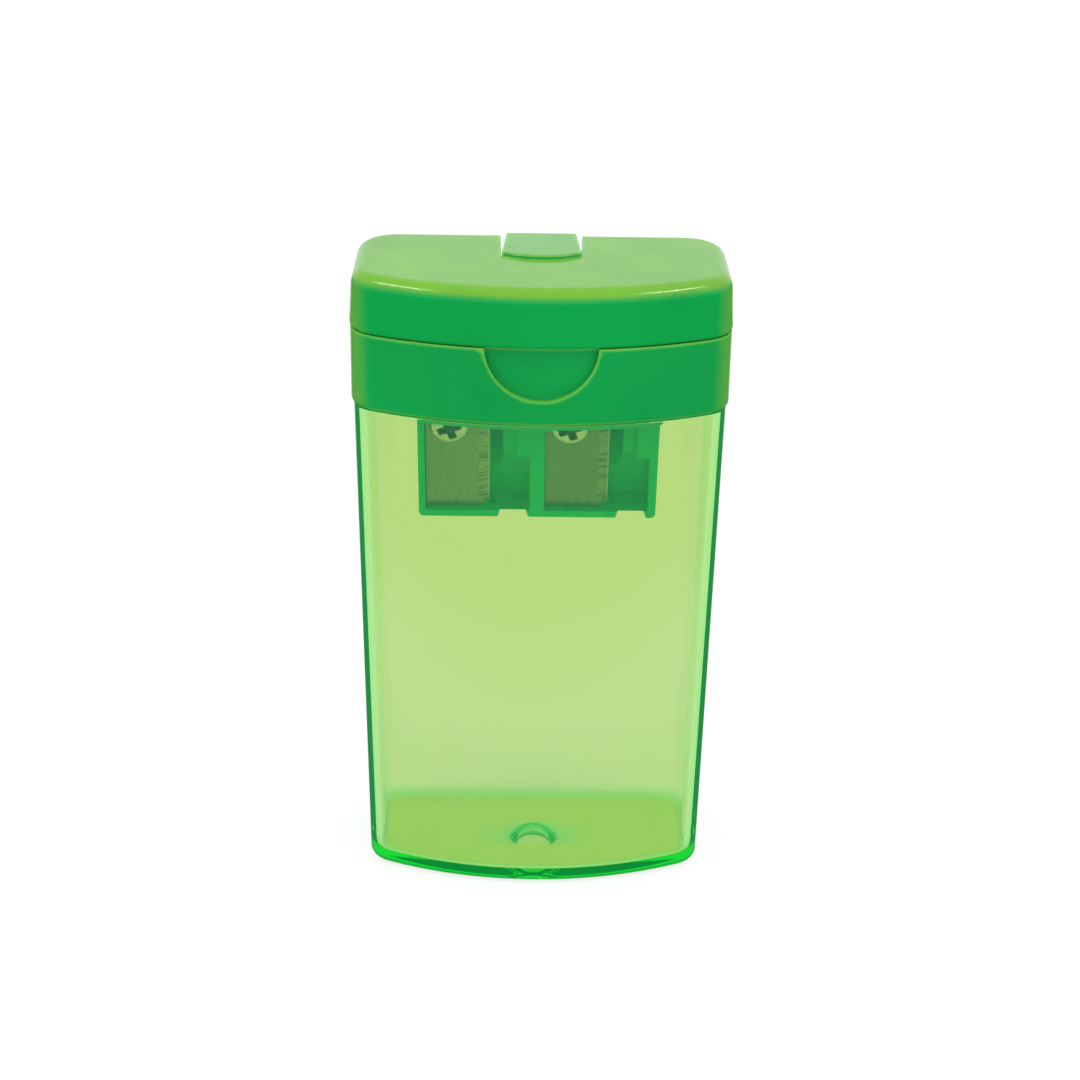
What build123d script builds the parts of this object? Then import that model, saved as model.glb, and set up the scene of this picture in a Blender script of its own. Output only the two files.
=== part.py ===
"""Twin-hole pencil sharpener with a clear shavings container, a pull-off collar and a hinged lid.

Millimetres.  X runs across the body, +Y to the flat hinge side, +Z up.
The origin is the middle of the outline at the level of the container's base.
"""
import os
from math import atan, cos, degrees, radians, sin, sqrt, tan

from build123d import *

# ---- the pencils it takes, which also set how deep the body has to be ----
PENCIL_RADIUS = 4.1

# ---- outline of the body: flat back, bowed front, seen from above ----
WIDTH = 41.4
DEPTH = 2 * (PENCIL_RADIUS + 7.4)
FRONT_BOW = 5.5
CORNER = 4.8
BOW_RADIUS = ((WIDTH / 2) ** 2 + FRONT_BOW ** 2) / (2 * FRONT_BOW)
BOW_CENTRE_Y = BOW_RADIUS - DEPTH / 2

# ---- levels ----
SHOULDER_Z = 57.1
COLLAR_HEIGHT = 8.6
LID_HEIGHT = 6.36
SEAM_Z = SHOULDER_Z + COLLAR_HEIGHT
LID_TOP_Z = SEAM_Z + LID_HEIGHT

# ---- clearances ----
SPIGOT_CLEARANCE = 0.08
PLUG_CLEARANCE = 0.35
LIP_CLEARANCE = 0.35
SEAM_GAP = 0.1
SHOULDER_GAP = 0.08
HINGE_CLEARANCE = 0.06
SLOT_GAP = 0.25

# ---- container ----
WALL = 1.25
FLOOR = 1.2
BASE_INSET = 1.47
SHOULDER_INSET = 0.38
BASE_ROUND = 1.2
FLOOR_ROUND = 1.0
SPIGOT_STEP = 0.6
SPIGOT_HEIGHT = 2.7
DRAFT = degrees(atan((BASE_INSET - SHOULDER_INSET) / SHOULDER_Z))
NUB_Y = -0.7
NUB_RADIUS = 2.95
NUB_HEIGHT = 1.3
NUB_HOLLOW_RADIUS = 2.1
NUB_HOLLOW_DEPTH = 1.4

# ---- collar ----
COLLAR_INSET = 0.1
COLLAR_ROUND = 0.6
SPIGOT_INSET = SHOULDER_INSET + SPIGOT_STEP
SKIRT_INNER_INSET = SPIGOT_INSET - SPIGOT_CLEARANCE
STEP_Z = SHOULDER_Z + SPIGOT_HEIGHT + 0.2
PLUG_INSET = SHOULDER_INSET + WALL + PLUG_CLEARANCE
PLUG_THICKNESS = 0.95
PLUG_HALF_WIDTH = 14.5
PLUG_BOTTOM_Z = SHOULDER_Z - 0.85
PLUG_SLANT = 1.6
TOP_PLATE = 1.4
PLATE_Z = SEAM_Z - TOP_PLATE
LIP_HEIGHT = 1.0
LIP_THICKNESS = 0.9
FINGER_RADIUS = 6.05
FINGER_Z = SEAM_Z + 0.3
FINGER_DEPTH = 0.65

# ---- lid ----
LID_WALL = 1.4
LID_ROOF = 1.4
LID_DRAFT = 3.0
LID_ROUND = 1.65
LID_EDGE_ROUND = 0.45
LID_BOTTOM_Z = SEAM_Z + SEAM_GAP
TONGUE_RISE = 0.45
TONGUE_BACK_RISE = 0.08
TONGUE_EDGE_ROUND = 0.3
TONGUE_FRONT_HALF = 4.35
TONGUE_BACK_HALF = 3.85
TONGUE_FRONT_Y = 2.0
TONGUE_NOSE_Y = 0.4
SLIT_BACK_HALF = 4.78
SLIT_TIP_HALF = 4.42
SLIT_TIP_Y = 2.1

# ---- hinge ----
OPEN_ANGLE = 110.0
HINGE_Y = DEPTH / 2 - LID_WALL
HINGE_Z = SEAM_Z - 1.8
TONGUE_REACH = DEPTH / 2 - COLLAR_INSET - HINGE_Y
BARREL_RADIUS = 1.2
BARREL_HALF_LENGTH = TONGUE_BACK_HALF - 0.1
STUB_RADIUS = 0.7
STUB_LENGTH = 1.4
SLOT_HALF_WIDTH = TONGUE_BACK_HALF + SLOT_GAP + 0.1
BOSS_HALF_WIDTH = SLOT_HALF_WIDTH + STUB_LENGTH + 1.3
SLOT_DROP = TONGUE_REACH * tan(radians(OPEN_ANGLE / 2)) + SLOT_GAP
BOSS_BOTTOM_Z = HINGE_Z - SLOT_DROP - 0.9
SHOULDER_RADIUS = SEAM_Z - HINGE_Z

# ---- twin sharpener block ----
PITCH = 2 * PENCIL_RADIUS + 4.9
LEFT_AXIS_X = -5.2
RIGHT_AXIS_X = LEFT_AXIS_X + PITCH
BLOCK_BOTTOM_Z = SEAM_Z - 22.7
BLOCK_LEFT = LEFT_AXIS_X - 8.05
BLOCK_RIGHT = RIGHT_AXIS_X + 5.08
BLOCK_BACK_Y = PENCIL_RADIUS + 1.2
CONE_ANGLE = 12.0
CONE_TIP_RADIUS = 0.5
CONE_TIP_Z = BLOCK_BOTTOM_Z + 1.1
CONE_TOP_Z = CONE_TIP_Z + (PENCIL_RADIUS - CONE_TIP_RADIUS) / tan(radians(CONE_ANGLE))
MOUTH_CHAMFER = 0.4
FLANGE = 1.4
FLANGE_Z = PLATE_Z - FLANGE
DECK_FRONT_Y = -7.2
DECK_BACK_Y = BLOCK_BACK_Y + 1.0
DECK_CORNER = 2.4
DECK_GAP = 0.1
FLANGE_OVERHANG = 1.1
LIP_PROUD = 0.92

# ---- blades, measured in the plane they lie on ----
BLADE_LENGTH = 21.2
BLADE_WIDTH = 7.0
BLADE_THICKNESS = 0.5
BLADE_EDGE_U = -0.25
BLADE_END_GAP = 0.05
BLADE_CORNER_CUT = 0.5
BLADE_CORNER_RUN = 1.2
BEVEL_WIDTH = 1.1
EDGE_THICKNESS = 0.06
SEAT_MARGIN = 0.05
BLADE_HOLE_RADIUS = 1.35
SCREW_U = BLADE_EDGE_U - 4.35
SCREW_V = BLADE_END_GAP + BLADE_LENGTH / 2 + 0.2

# ---- screws ----
HEAD_RADIUS = 2.1
HEAD_HEIGHT = 1.15
HEAD_ROUND = 0.55
SHANK_RADIUS = 1.1
SHANK_LENGTH = 5.2
POINT_LENGTH = 1.1
CROSS_LENGTH = 2.7
CROSS_WIDTH = 0.9
CROSS_DEPTH = 0.75

# ---- windows that let the shavings out ----
WINDOW_WIDTH = 4.45
WINDOW_HEIGHT = 7.15
WINDOW_DEPTH = 2.6
GAP_WIDTH = 1.5
GAP_TOP_V = 18.4
STRIP_WIDTH = 1.5
STRIP_SETBACK = 1.2
NOTCH_START = 1.15
NOTCH_WIDTH = 2.9
NOTCH_FLARE = 0.25
NOTCH_TOP_Z = BLOCK_BOTTOM_Z + 0.85


def body_outline(inset):
    """Flat-backed, bow-fronted outline, moved in by inset from the widest one."""
    half_width = WIDTH / 2 - inset
    back = DEPTH / 2 - inset
    side_y = BOW_CENTRE_Y - sqrt((BOW_RADIUS - inset) ** 2 - half_width ** 2)
    with BuildSketch(mode=Mode.PRIVATE) as outline:
        with BuildLine():
            ThreePointArc((-half_width, side_y), (0, -back), (half_width, side_y))
            Polyline((half_width, side_y), (half_width, back), (-half_width, back), (-half_width, side_y))
        make_face()
        fillet(outline.vertices(), CORNER - inset)
    return outline.sketch


def blade_plane(axis_x, lift=0.0):
    """Plane of a blade seat: x across the block, y up along the blade, z out of the block."""
    normal = (0, -cos(radians(CONE_ANGLE)), -sin(radians(CONE_ANGLE)))
    seat = Plane(origin=(axis_x, -CONE_TIP_RADIUS, CONE_TIP_Z), x_dir=(1, 0, 0), z_dir=normal)
    return seat.offset(lift)


# ---- container: clear, drafted, stepped at the rim ----
with BuildPart() as container:
    with BuildSketch(Plane.XY):
        add(body_outline(BASE_INSET))
    extrude(amount=SHOULDER_Z, taper=-DRAFT)
    fillet(container.faces().sort_by(Axis.Z)[0].edges(), BASE_ROUND)
    with BuildSketch(Plane.XY.offset(SHOULDER_Z)):
        add(body_outline(SPIGOT_INSET))
    extrude(amount=SPIGOT_HEIGHT)
    with BuildSketch(Plane.XY.offset(FLOOR)):
        add(body_outline(BASE_INSET + WALL))
    extrude(amount=SHOULDER_Z + SPIGOT_HEIGHT - FLOOR, taper=-DRAFT, mode=Mode.SUBTRACT)
    floor_face = container.faces().filter_by(Axis.Z).filter_by_position(Axis.Z, FLOOR, FLOOR)
    fillet(floor_face.edges(), FLOOR_ROUND)
    with BuildSketch(Plane.XZ.offset(-NUB_Y)):
        with BuildLine():
            Polyline((0, FLOOR + NUB_HEIGHT), (0, FLOOR / 2), (NUB_RADIUS, FLOOR / 2), (NUB_RADIUS, FLOOR))
            TangentArc((0, FLOOR + NUB_HEIGHT), (NUB_RADIUS, FLOOR), tangent=(1, 0))
        make_face()
    revolve(axis=Axis((0, NUB_Y, 0), (0, 0, 1)))
    with BuildSketch(Plane.XZ.offset(-NUB_Y)):
        with BuildLine():
            Polyline((0, NUB_HOLLOW_DEPTH), (0, -1), (NUB_HOLLOW_RADIUS, -1), (NUB_HOLLOW_RADIUS, 0))
            TangentArc((0, NUB_HOLLOW_DEPTH), (NUB_HOLLOW_RADIUS, 0), tangent=(1, 0))
        make_face()
    revolve(axis=Axis((0, NUB_Y, 0), (0, 0, 1)), mode=Mode.SUBTRACT)
container.part.label = "container"

# ---- thumb recess in the front of the collar: even depth behind the bowed face ----
with BuildPart() as thumb_recess:
    with BuildSketch(Plane.XZ):
        with Locations((0, FINGER_Z)):
            Circle(FINGER_RADIUS)
    extrude(amount=DEPTH)
    with BuildSketch(Plane.XY.offset(SHOULDER_Z)):
        with Locations((0, BOW_CENTRE_Y)):
            Circle(BOW_RADIUS - COLLAR_INSET - FINGER_DEPTH)
    extrude(amount=LID_TOP_Z - SHOULDER_Z + FINGER_RADIUS, mode=Mode.SUBTRACT)

# ---- plug tongues that reach down inside the container's rim ----
with BuildPart() as plug_tongues:
    with BuildSketch(Plane.XY.offset(PLUG_BOTTOM_Z)):
        add(body_outline(PLUG_INSET))
    extrude(amount=PLATE_Z - PLUG_BOTTOM_Z)
    with BuildSketch(Plane.XY.offset(PLUG_BOTTOM_Z)):
        add(body_outline(PLUG_INSET + PLUG_THICKNESS))
    extrude(amount=PLATE_Z - PLUG_BOTTOM_Z, mode=Mode.SUBTRACT)
    with BuildSketch(Plane.XZ):
        with BuildLine():
            Polyline(
                (-PLUG_HALF_WIDTH, PLATE_Z),
                (-PLUG_HALF_WIDTH, PLUG_BOTTOM_Z + PLUG_SLANT),
                (-PLUG_HALF_WIDTH + PLUG_SLANT, PLUG_BOTTOM_Z),
                (PLUG_HALF_WIDTH - PLUG_SLANT, PLUG_BOTTOM_Z),
                (PLUG_HALF_WIDTH, PLUG_BOTTOM_Z + PLUG_SLANT),
                (PLUG_HALF_WIDTH, PLATE_Z),
                close=True,
            )
        make_face()
    extrude(amount=DEPTH, both=True, mode=Mode.INTERSECT)

# ---- collar ----
with BuildPart() as collar:
    with BuildSketch(Plane.XY.offset(SHOULDER_Z + SHOULDER_GAP)):
        add(body_outline(COLLAR_INSET))
    extrude(amount=SEAM_Z - SHOULDER_Z - SHOULDER_GAP)
    fillet(collar.faces().sort_by(Axis.Z)[0].edges(), COLLAR_ROUND)
    with BuildSketch(Plane.XY.offset(SEAM_Z)):
        add(body_outline(LID_WALL + LIP_CLEARANCE))
        with BuildLine():
            Polyline((-WIDTH, DEPTH), (-WIDTH, HINGE_Y - 4), (WIDTH, HINGE_Y - 4), (WIDTH, DEPTH), close=True)
        make_face(mode=Mode.SUBTRACT)
    extrude(amount=LIP_HEIGHT)
    with BuildSketch(Plane.XY.offset(SEAM_Z)):
        add(body_outline(LID_WALL + LIP_CLEARANCE + LIP_THICKNESS))
    extrude(amount=LIP_HEIGHT, mode=Mode.SUBTRACT)
    with BuildSketch(Plane.XY.offset(SHOULDER_Z)):
        add(body_outline(SKIRT_INNER_INSET))
    extrude(amount=STEP_Z - SHOULDER_Z, mode=Mode.SUBTRACT)
    with BuildSketch(Plane.XY.offset(SHOULDER_Z)):
        add(body_outline(PLUG_INSET))
    extrude(amount=PLATE_Z - SHOULDER_Z, mode=Mode.SUBTRACT)
    add(plug_tongues.part)
    with BuildSketch(Plane.XY.offset(BOSS_BOTTOM_Z)):
        with Locations((0, HINGE_Y - BARREL_RADIUS - 1)):
            Rectangle(2 * BOSS_HALF_WIDTH, DEPTH / 2 - COLLAR_INSET - HINGE_Y + BARREL_RADIUS + 1,
                      align=(Align.CENTER, Align.MIN))
    extrude(amount=PLATE_Z - BOSS_BOTTOM_Z)
    # the rear rim falls away so the lid's skirt can swing over it
    with BuildSketch(Plane.YZ):
        with Locations((HINGE_Y, HINGE_Z)):
            Rectangle(DEPTH, DEPTH, align=(Align.MIN, Align.MIN))
            Circle(SHOULDER_RADIUS, mode=Mode.SUBTRACT)
    extrude(amount=WIDTH, both=True, mode=Mode.SUBTRACT)
    # hinge slot and the two blind sockets
    with BuildSketch(Plane.YZ):
        with Locations((HINGE_Y - BARREL_RADIUS - SLOT_GAP, HINGE_Z - SLOT_DROP)):
            Rectangle(DEPTH, DEPTH, align=(Align.MIN, Align.MIN))
    extrude(amount=SLOT_HALF_WIDTH, both=True, mode=Mode.SUBTRACT)
    with BuildSketch(Plane.YZ):
        with Locations((HINGE_Y, HINGE_Z)):
            Circle(STUB_RADIUS + HINGE_CLEARANCE)
    extrude(amount=BARREL_HALF_LENGTH + STUB_LENGTH + SLOT_GAP, both=True, mode=Mode.SUBTRACT)
    # opening that the sharpener block's deck fills
    with BuildSketch(Plane.XY.offset(PLATE_Z)):
        with Locations(((BLOCK_LEFT + BLOCK_RIGHT) / 2, (DECK_FRONT_Y + DECK_BACK_Y) / 2)):
            RectangleRounded(BLOCK_RIGHT - BLOCK_LEFT + 2 * DECK_GAP,
                             DECK_BACK_Y - DECK_FRONT_Y + 2 * DECK_GAP, DECK_CORNER + DECK_GAP)
    extrude(amount=TOP_PLATE, mode=Mode.SUBTRACT)
    add(thumb_recess.part, mode=Mode.SUBTRACT)
collar.part.label = "collar"

# ---- twin sharpener block: deck, flange and body with two conical seats ----
with BuildPart() as sharpener_block:
    front_bottom_y = -CONE_TIP_RADIUS + (CONE_TIP_Z - BLOCK_BOTTOM_Z) * tan(radians(CONE_ANGLE))
    front_bottom_y -= (BLADE_THICKNESS + LIP_PROUD) / cos(radians(CONE_ANGLE))
    front_top_y = front_bottom_y - (FLANGE_Z - BLOCK_BOTTOM_Z) * tan(radians(CONE_ANGLE))
    with BuildSketch(Plane.YZ.offset(BLOCK_LEFT)):
        with BuildLine():
            Polyline(
                (front_bottom_y, BLOCK_BOTTOM_Z),
                (BLOCK_BACK_Y, BLOCK_BOTTOM_Z),
                (BLOCK_BACK_Y, FLANGE_Z),
                (front_top_y, FLANGE_Z),
                close=True,
            )
        make_face()
    extrude(amount=BLOCK_RIGHT - BLOCK_LEFT)
    lower_edges = sharpener_block.edges().filter_by(Axis.Y).group_by(Axis.Z)[0]
    fillet(lower_edges, 0.6)
    with BuildSketch(Plane.XY.offset(FLANGE_Z)):
        with Locations(((BLOCK_LEFT + BLOCK_RIGHT) / 2, (DECK_FRONT_Y + DECK_BACK_Y) / 2)):
            RectangleRounded(BLOCK_RIGHT - BLOCK_LEFT + 2 * FLANGE_OVERHANG,
                             DECK_BACK_Y - DECK_FRONT_Y + 2 * FLANGE_OVERHANG, DECK_CORNER)
        add(body_outline(PLUG_INSET + PLUG_THICKNESS + DECK_GAP), mode=Mode.INTERSECT)
    extrude(amount=FLANGE)
    with BuildSketch(Plane.XY.offset(PLATE_Z)):
        with Locations(((BLOCK_LEFT + BLOCK_RIGHT) / 2, (DECK_FRONT_Y + DECK_BACK_Y) / 2)):
            RectangleRounded(BLOCK_RIGHT - BLOCK_LEFT, DECK_BACK_Y - DECK_FRONT_Y, DECK_CORNER)
    extrude(amount=TOP_PLATE)
    for axis_x in (LEFT_AXIS_X, RIGHT_AXIS_X):
        # conical seat and pencil hole
        with BuildSketch(Plane.XZ):
            with BuildLine():
                Polyline(
                    (axis_x, BLOCK_BOTTOM_Z + 0.6),
                    (axis_x + CONE_TIP_RADIUS, BLOCK_BOTTOM_Z + 0.6),
                    (axis_x + CONE_TIP_RADIUS, CONE_TIP_Z),
                    (axis_x + PENCIL_RADIUS, CONE_TOP_Z),
                    (axis_x + PENCIL_RADIUS, SEAM_Z - MOUTH_CHAMFER),
                    (axis_x + PENCIL_RADIUS + MOUTH_CHAMFER, SEAM_Z),
                    (axis_x, SEAM_Z),
                    close=True,
                )
            make_face()
        revolve(axis=Axis((axis_x, 0, 0), (0, 0, 1)), mode=Mode.SUBTRACT)
        # recess the blade lies in, open to the window side
        with BuildSketch(blade_plane(axis_x)):
            with Locations((BLADE_EDGE_U - BLADE_WIDTH - SEAT_MARGIN, 0)):
                Rectangle(BLADE_WIDTH + SEAT_MARGIN, BLADE_LENGTH + 3 * BLADE_END_GAP,
                          align=(Align.MIN, Align.MIN))
        extrude(amount=BLADE_THICKNESS + LIP_PROUD, mode=Mode.SUBTRACT)
        # window: full width low down, a narrow gap beside the edge higher up
        with BuildSketch(blade_plane(axis_x, BLADE_THICKNESS + LIP_PROUD)):
            with Locations((BLADE_EDGE_U - 0.01, 0)):
                Rectangle(WINDOW_WIDTH, WINDOW_HEIGHT, align=(Align.MIN, Align.MIN))
                Rectangle(GAP_WIDTH, GAP_TOP_V, align=(Align.MIN, Align.MIN))
        extrude(amount=-(WINDOW_DEPTH + BLADE_THICKNESS + LIP_PROUD), mode=Mode.SUBTRACT)
        with BuildSketch(blade_plane(axis_x, BLADE_THICKNESS + LIP_PROUD)):
            with Locations((BLADE_EDGE_U + GAP_WIDTH - 0.02, WINDOW_HEIGHT - 0.5)):
                Rectangle(STRIP_WIDTH + 0.02, GAP_TOP_V - WINDOW_HEIGHT + 0.5, align=(Align.MIN, Align.MIN))
        extrude(amount=-STRIP_SETBACK, mode=Mode.SUBTRACT)
        # notch in the foot below the window
        with BuildSketch(Plane.XZ.offset(DEPTH / 2)):
            with BuildLine():
                Polyline(
                    (axis_x + BLADE_EDGE_U + NOTCH_START, NOTCH_TOP_Z),
                    (axis_x + BLADE_EDGE_U + NOTCH_START - NOTCH_FLARE, BLOCK_BOTTOM_Z),
                    (axis_x + BLADE_EDGE_U + NOTCH_START + NOTCH_WIDTH + NOTCH_FLARE, BLOCK_BOTTOM_Z),
                    (axis_x + BLADE_EDGE_U + NOTCH_START + NOTCH_WIDTH, NOTCH_TOP_Z),
                    close=True,
                )
            make_face()
        extrude(amount=-DEPTH, mode=Mode.SUBTRACT)
        # hole the screw cuts its thread in
        with BuildSketch(blade_plane(axis_x)):
            with Locations((SCREW_U, SCREW_V)):
                Circle(SHANK_RADIUS)
        extrude(amount=-(SHANK_LENGTH - BLADE_THICKNESS), mode=Mode.SUBTRACT)
sharpener_block.part.label = "sharpener_block"


def build_blade(axis_x):
    """One ground steel blade lying on its seat, cutting edge beside the pencil axis."""
    with BuildPart() as blade:
        with BuildSketch(blade_plane(axis_x)):
            with BuildLine():
                Polyline(
                    (BLADE_EDGE_U - BLADE_WIDTH, BLADE_END_GAP),
                    (BLADE_EDGE_U - BLADE_CORNER_RUN, BLADE_END_GAP),
                    (BLADE_EDGE_U, BLADE_END_GAP + BLADE_CORNER_CUT),
                    (BLADE_EDGE_U, BLADE_END_GAP + BLADE_LENGTH),
                    (BLADE_EDGE_U - BLADE_WIDTH, BLADE_END_GAP + BLADE_LENGTH),
                    close=True,
                )
            make_face()
            with Locations((SCREW_U, SCREW_V)):
                Circle(BLADE_HOLE_RADIUS, mode=Mode.SUBTRACT)
        extrude(amount=BLADE_THICKNESS)
        seat = blade_plane(axis_x)
        across = Plane(origin=seat.origin, x_dir=seat.x_dir, z_dir=-seat.y_dir)
        with BuildSketch(across):
            with BuildLine():
                Polyline(
                    (BLADE_EDGE_U - BEVEL_WIDTH, BLADE_THICKNESS),
                    (BLADE_EDGE_U, EDGE_THICKNESS),
                    (BLADE_EDGE_U + 1, EDGE_THICKNESS),
                    (BLADE_EDGE_U + 1, BLADE_THICKNESS + 1),
                    (BLADE_EDGE_U - BEVEL_WIDTH, BLADE_THICKNESS + 1),
                    close=True,
                )
            make_face()
        extrude(amount=-2 * BLADE_LENGTH, both=True, mode=Mode.SUBTRACT)
    return blade.part


def build_screw(axis_x):
    """Cross-head screw that clamps a blade: rounded head, plain shank, blunt point."""
    top = blade_plane(axis_x, BLADE_THICKNESS)
    with BuildPart() as screw:
        with BuildSketch(top):
            with Locations((SCREW_U, SCREW_V)):
                Circle(HEAD_RADIUS)
        extrude(amount=HEAD_HEIGHT)
        far_edge = screw.faces().sort_by(Axis.Y)[0].edges()
        fillet(far_edge, HEAD_ROUND)
        with BuildSketch(top):
            with Locations((SCREW_U, SCREW_V)):
                Circle(SHANK_RADIUS)
        extrude(amount=-(SHANK_LENGTH - POINT_LENGTH))
        with BuildSketch(top.offset(-(SHANK_LENGTH - POINT_LENGTH))):
            with Locations((SCREW_U, SCREW_V)):
                Circle(SHANK_RADIUS)
        extrude(amount=-POINT_LENGTH, taper=25)
        with BuildSketch(top.offset(HEAD_HEIGHT)):
            with Locations((SCREW_U, SCREW_V)):
                with Locations(Rotation(0, 0, 20)):
                    Rectangle(CROSS_LENGTH, CROSS_WIDTH)
                    Rectangle(CROSS_WIDTH, CROSS_LENGTH)
        extrude(amount=-CROSS_DEPTH, mode=Mode.SUBTRACT)
    return screw.part


blade_left = build_blade(LEFT_AXIS_X)
blade_left.label = "blade_left"
blade_right = build_blade(RIGHT_AXIS_X)
blade_right.label = "blade_right"
screw_left = build_screw(LEFT_AXIS_X)
screw_left.label = "screw_left"
screw_right = build_screw(RIGHT_AXIS_X)
screw_right.label = "screw_right"

# ---- spring tongue in the lid's back: raised, down-turned, ending in the hinge barrel ----
with BuildPart() as hinge_tongue:
    with BuildSketch(Plane.XY.offset(HINGE_Z)):
        with BuildLine():
            ThreePointArc((-TONGUE_FRONT_HALF, TONGUE_FRONT_Y), (0, TONGUE_NOSE_Y),
                          (TONGUE_FRONT_HALF, TONGUE_FRONT_Y))
            Polyline((TONGUE_FRONT_HALF, TONGUE_FRONT_Y), (TONGUE_BACK_HALF, DEPTH / 2),
                     (-TONGUE_BACK_HALF, DEPTH / 2), (-TONGUE_FRONT_HALF, TONGUE_FRONT_Y))
        make_face()
    extrude(amount=LID_TOP_Z + TONGUE_RISE - HINGE_Z)
    with BuildSketch(Plane.YZ):
        with BuildLine():
            Polyline(
                (0, LID_TOP_Z - LID_ROOF),
                (DEPTH / 2 - LID_WALL, LID_TOP_Z - LID_ROOF),
                (DEPTH / 2 - LID_WALL, HINGE_Z),
                (DEPTH / 2 - COLLAR_INSET, HINGE_Z),
                (DEPTH / 2 - COLLAR_INSET, LID_TOP_Z + TONGUE_BACK_RISE),
                (0, LID_TOP_Z + TONGUE_RISE),
                close=True,
            )
        make_face()
    extrude(amount=WIDTH, both=True, mode=Mode.INTERSECT)
    top_back = hinge_tongue.edges().filter_by(Axis.X).sort_by(Axis.Z)[-1]
    fillet(top_back, 1.0)
    nose = hinge_tongue.faces().filter_by(GeomType.CYLINDER).sort_by(Axis.Y)[0]
    fillet(nose.edges().sort_by(Axis.Z)[-1], TONGUE_EDGE_ROUND)
    with BuildSketch(Plane.YZ):
        with Locations((HINGE_Y, HINGE_Z)):
            Circle(BARREL_RADIUS)
    extrude(amount=BARREL_HALF_LENGTH, both=True)
    with BuildSketch(Plane.YZ):
        with Locations((HINGE_Y, HINGE_Z)):
            Circle(STUB_RADIUS)
    extrude(amount=BARREL_HALF_LENGTH + STUB_LENGTH, both=True)

# ---- lid ----
with BuildPart() as lid:
    with BuildSketch(Plane.XY.offset(LID_BOTTOM_Z)):
        add(body_outline(0))
    extrude(amount=LID_TOP_Z - LID_BOTTOM_Z, taper=LID_DRAFT)
    fillet(lid.faces().sort_by(Axis.Z)[-1].edges(), LID_ROUND)
    fillet(lid.faces().sort_by(Axis.Z)[0].edges(), LID_EDGE_ROUND)
    with BuildSketch(Plane.XY.offset(LID_BOTTOM_Z)):
        add(body_outline(LID_WALL))
    extrude(amount=LID_TOP_Z - LID_ROOF - LID_BOTTOM_Z, taper=LID_DRAFT, mode=Mode.SUBTRACT)
    # wedge-shaped slits free the tongue on both sides
    with BuildSketch(Plane.XY.offset(LID_BOTTOM_Z)):
        with BuildLine():
            Polyline(
                (SLIT_TIP_HALF, SLIT_TIP_Y),
                (SLIT_BACK_HALF, DEPTH),
                (TONGUE_BACK_HALF, DEPTH),
                (TONGUE_BACK_HALF, DEPTH / 2),
                (TONGUE_FRONT_HALF, TONGUE_FRONT_Y),
                close=True,
            )
        make_face()
        mirror(about=Plane.YZ)
    extrude(amount=LID_TOP_Z - LID_BOTTOM_Z, mode=Mode.SUBTRACT)
    add(hinge_tongue.part)
lid.part.label = "lid"

os.makedirs("parts", exist_ok=True)
export_step(container.part, "parts/container.step")
export_step(collar.part, "parts/collar.step")
export_step(sharpener_block.part, "parts/sharpener_block.step")
export_step(blade_left, "parts/blade_left.step")
export_step(blade_right, "parts/blade_right.step")
export_step(screw_left, "parts/screw_left.step")
export_step(screw_right, "parts/screw_right.step")
export_step(lid.part, "parts/lid.step")
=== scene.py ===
import math

import bmesh
import bpy
import numpy as np
from mathutils import Matrix, Vector
from mathutils.kdtree import KDTree


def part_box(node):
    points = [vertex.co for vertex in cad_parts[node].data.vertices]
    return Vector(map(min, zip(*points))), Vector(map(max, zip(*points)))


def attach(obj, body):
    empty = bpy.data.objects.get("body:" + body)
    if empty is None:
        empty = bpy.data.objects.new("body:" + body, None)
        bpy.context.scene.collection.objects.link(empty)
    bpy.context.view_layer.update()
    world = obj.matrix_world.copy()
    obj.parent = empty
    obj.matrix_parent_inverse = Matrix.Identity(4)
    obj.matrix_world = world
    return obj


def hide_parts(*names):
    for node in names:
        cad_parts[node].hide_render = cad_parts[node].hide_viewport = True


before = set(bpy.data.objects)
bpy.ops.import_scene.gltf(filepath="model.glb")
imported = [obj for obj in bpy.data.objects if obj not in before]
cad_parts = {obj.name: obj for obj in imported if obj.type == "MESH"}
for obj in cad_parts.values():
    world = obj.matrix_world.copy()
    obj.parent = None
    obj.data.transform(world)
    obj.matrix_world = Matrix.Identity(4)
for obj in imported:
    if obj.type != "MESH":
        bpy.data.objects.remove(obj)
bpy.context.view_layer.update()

MM = 0.001

# ---- sizes of the tub, in millimetres, as in the CAD model ----
WIDTH = 41.4
DEPTH = 23.0
FRONT_BOW = 5.5
CORNER = 4.8
BOW_RADIUS = ((WIDTH / 2) ** 2 + FRONT_BOW ** 2) / (2 * FRONT_BOW)
BOW_CENTRE_Y = BOW_RADIUS - DEPTH / 2
TUB_WALL = 1.25
TUB_FLOOR = 1.2
TUB_BASE_INSET = 1.47
TUB_SHOULDER_INSET = 0.38
TUB_SPIGOT_INSET = 0.98
TUB_BASE_ROUND = 1.2
TUB_FLOOR_ROUND = 1.0
SHOULDER_Z = 57.1
RIM_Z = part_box("container")[1].z / MM
TUB_LEAN = (TUB_BASE_INSET - TUB_SHOULDER_INSET) / SHOULDER_Z
NUB_Y = -0.7
NUB_RADIUS = 2.95
NUB_HEIGHT = 1.3
HOLLOW_RADIUS = 2.1
HOLLOW_DEPTH = 1.4
RIM_ROUND = 0.12
SHOULDER_ROUND = 0.1
CREASE = 0.06       # how far from a bend the next ring lies, which keeps the bend crisp

# ---- places on the lid and the collar ----
LID_EDGE_BAND = (65.78, 65.86)
LID_EDGE_DROP = 0.05
TONGUE_TOP_Z = 72.08
TONGUE_HALF_WIDTH = 5
COLLAR_FOOT_Z = (57.0, 59.0)

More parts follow.
